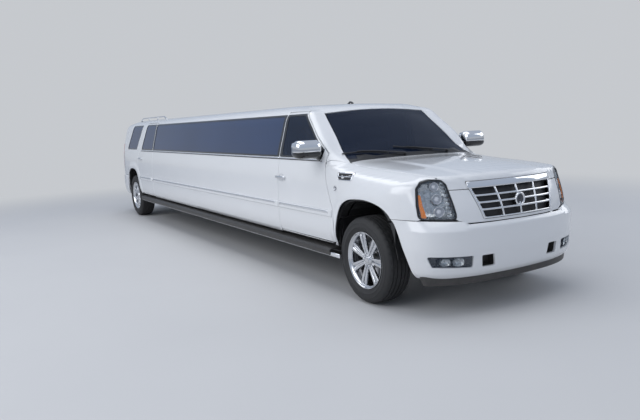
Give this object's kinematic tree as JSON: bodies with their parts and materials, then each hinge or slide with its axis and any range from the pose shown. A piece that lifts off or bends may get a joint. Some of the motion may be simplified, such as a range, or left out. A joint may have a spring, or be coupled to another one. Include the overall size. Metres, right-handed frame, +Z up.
{
  "type": "stretch limousine",
  "caption": "Stretched full-size luxury SUV limousine with hinged side doors, bonnet and liftgate, steered front wheels, a barred grille and a long strip of dark side glass.",
  "frame": {"origin": "on the ground, midway along and across the vehicle", "axes": "+Z up, the vehicle faces -Y, +X is its left side"},
  "size_m": [2.5, 10.223, 1.9283],
  "materials": {
    "white_paint": "gloss white with clear coat",
    "chrome": "mirror polished",
    "dark_glass": "dark blue tint",
    "clear_glass": "light tint",
    "lamp_lens": "clear lens",
    "red_lens": "red lens",
    "black_plastic": "grained black",
    "tyre": "black rubber",
    "chassis_steel": "satin black",
    "knuckle_iron": "as cast",
    "engine_metal": "cast",
    "radiator_metal": "black",
    "exhaust_steel": "dull",
    "black_leather": "black"
  },
  "bodies": {
    "body": {"chassis_frame": "chassis_steel", "front_suspension": "chassis_steel", "engine_block": "engine_metal", "radiator": "radiator_metal", "rear_axle": "chassis_steel", "fuel_tank": "black_plastic", "exhaust": "exhaust_steel", "front_structure": "white_paint", "floor_pan": "white_paint", "roof_panel": "white_paint", "body_side_left": "white_paint", "body_side_right": "white_paint", "front_bumper": "white_paint", "rear_bumper": "white_paint", "grille": "chrome", "dashboard": "black_plastic", "steering_wheel": "black_leather", "partition": "black_plastic", "lounge_seat": "black_leather", "fender_left": "white_paint", "fender_right": "white_paint", "headlamp_left": "lamp_lens", "headlamp_right": "lamp_lens", "tail_lamp_left": "red_lens", "tail_lamp_right": "red_lens", "running_board_left": "black_plastic", "running_board_right": "black_plastic", "roof_rail_left": "chrome", "roof_rail_right": "chrome", "seat_front_left": "black_leather", "seat_front_right": "black_leather", "glass_side_left": "dark_glass", "glass_side_right": "dark_glass", "glass_quarter_left": "dark_glass", "glass_quarter_right": "dark_glass", "windscreen": "clear_glass"},
    "bonnet_lid": {"bonnet": "white_paint"},
    "tail_lid": {"liftgate": "white_paint", "glass_liftgate": "dark_glass"},
    "front_left_door": {"door_front_left": "white_paint", "glass_door_front_left": "clear_glass", "mirror_left": "chrome"},
    "front_right_door": {"door_front_right": "white_paint", "glass_door_front_right": "clear_glass", "mirror_right": "chrome"},
    "rear_left_door": {"door_rear_left": "white_paint", "glass_door_rear_left": "dark_glass"},
    "rear_right_door": {"door_rear_right": "white_paint", "glass_door_rear_right": "dark_glass"},
    "left_knuckle": {"knuckle_left": "knuckle_iron"},
    "right_knuckle": {"knuckle_right": "knuckle_iron"},
    "front_left_wheel": {"rim_front_left": "chrome", "tyre_front_left": "tyre"},
    "front_right_wheel": {"rim_front_right": "chrome", "tyre_front_right": "tyre"},
    "rear_left_wheel": {"rim_rear_left": "chrome", "tyre_rear_left": "tyre"},
    "rear_right_wheel": {"rim_rear_right": "chrome", "tyre_rear_right": "tyre"}
  },
  "joints": [
    {"name": "bonnet_hinge", "type": "hinge", "parent": "body", "child": "bonnet_lid", "pos_m": [0, -3.6615, 1.301], "axis": [-1, 0, 0], "range_deg": [0, 55]},
    {"name": "liftgate_hinge", "type": "hinge", "parent": "body", "child": "tail_lid", "pos_m": [0, 4.7645, 1.859], "axis": [1, 0, 0], "range_deg": [0, 85]},
    {"name": "front_left_door_hinge", "type": "hinge", "parent": "body", "child": "front_left_door", "pos_m": [1.002, -3.62625, 0.8], "axis": [0, 0, -1], "range_deg": [0, 70]},
    {"name": "front_right_door_hinge", "type": "hinge", "parent": "body", "child": "front_right_door", "pos_m": [-1.002, -3.62625, 0.8], "axis": [0, 0, 1], "range_deg": [0, 70]},
    {"name": "rear_left_door_hinge", "type": "hinge", "parent": "body", "child": "rear_left_door", "pos_m": [1.002, 2.58675, 0.8], "axis": [0, 0, -1], "range_deg": [0, 70]},
    {"name": "rear_right_door_hinge", "type": "hinge", "parent": "body", "child": "rear_right_door", "pos_m": [-1.002, 2.58675, 0.8], "axis": [0, 0, 1], "range_deg": [0, 70]},
    {"name": "left_steering", "type": "hinge", "parent": "body", "child": "left_knuckle", "pos_m": [0.775, -4.1015, 0.405], "axis": [0, 0, 1], "range_deg": [-32, 32]},
    {"name": "right_steering", "type": "hinge", "parent": "body", "child": "right_knuckle", "pos_m": [-0.775, -4.1015, 0.405], "axis": [0, 0, 1], "range_deg": [-32, 32]},
    {"name": "front_left_spin", "type": "hinge", "parent": "left_knuckle", "child": "front_left_wheel", "pos_m": [0.866, -4.1015, 0.405], "axis": [1, 0, 0], "continuous": true},
    {"name": "front_right_spin", "type": "hinge", "parent": "right_knuckle", "child": "front_right_wheel", "pos_m": [-0.866, -4.1015, 0.405], "axis": [1, 0, 0], "continuous": true},
    {"name": "rear_left_spin", "type": "hinge", "parent": "body", "child": "rear_left_wheel", "pos_m": [0.851, 3.9245, 0.405], "axis": [1, 0, 0], "continuous": true},
    {"name": "rear_right_spin", "type": "hinge", "parent": "body", "child": "rear_right_wheel", "pos_m": [-0.851, 3.9245, 0.405], "axis": [1, 0, 0], "continuous": true}
  ],
  "couplings": [
    {"joint": "right_steering", "follows": "left_steering", "ratio": 1}
  ]
}
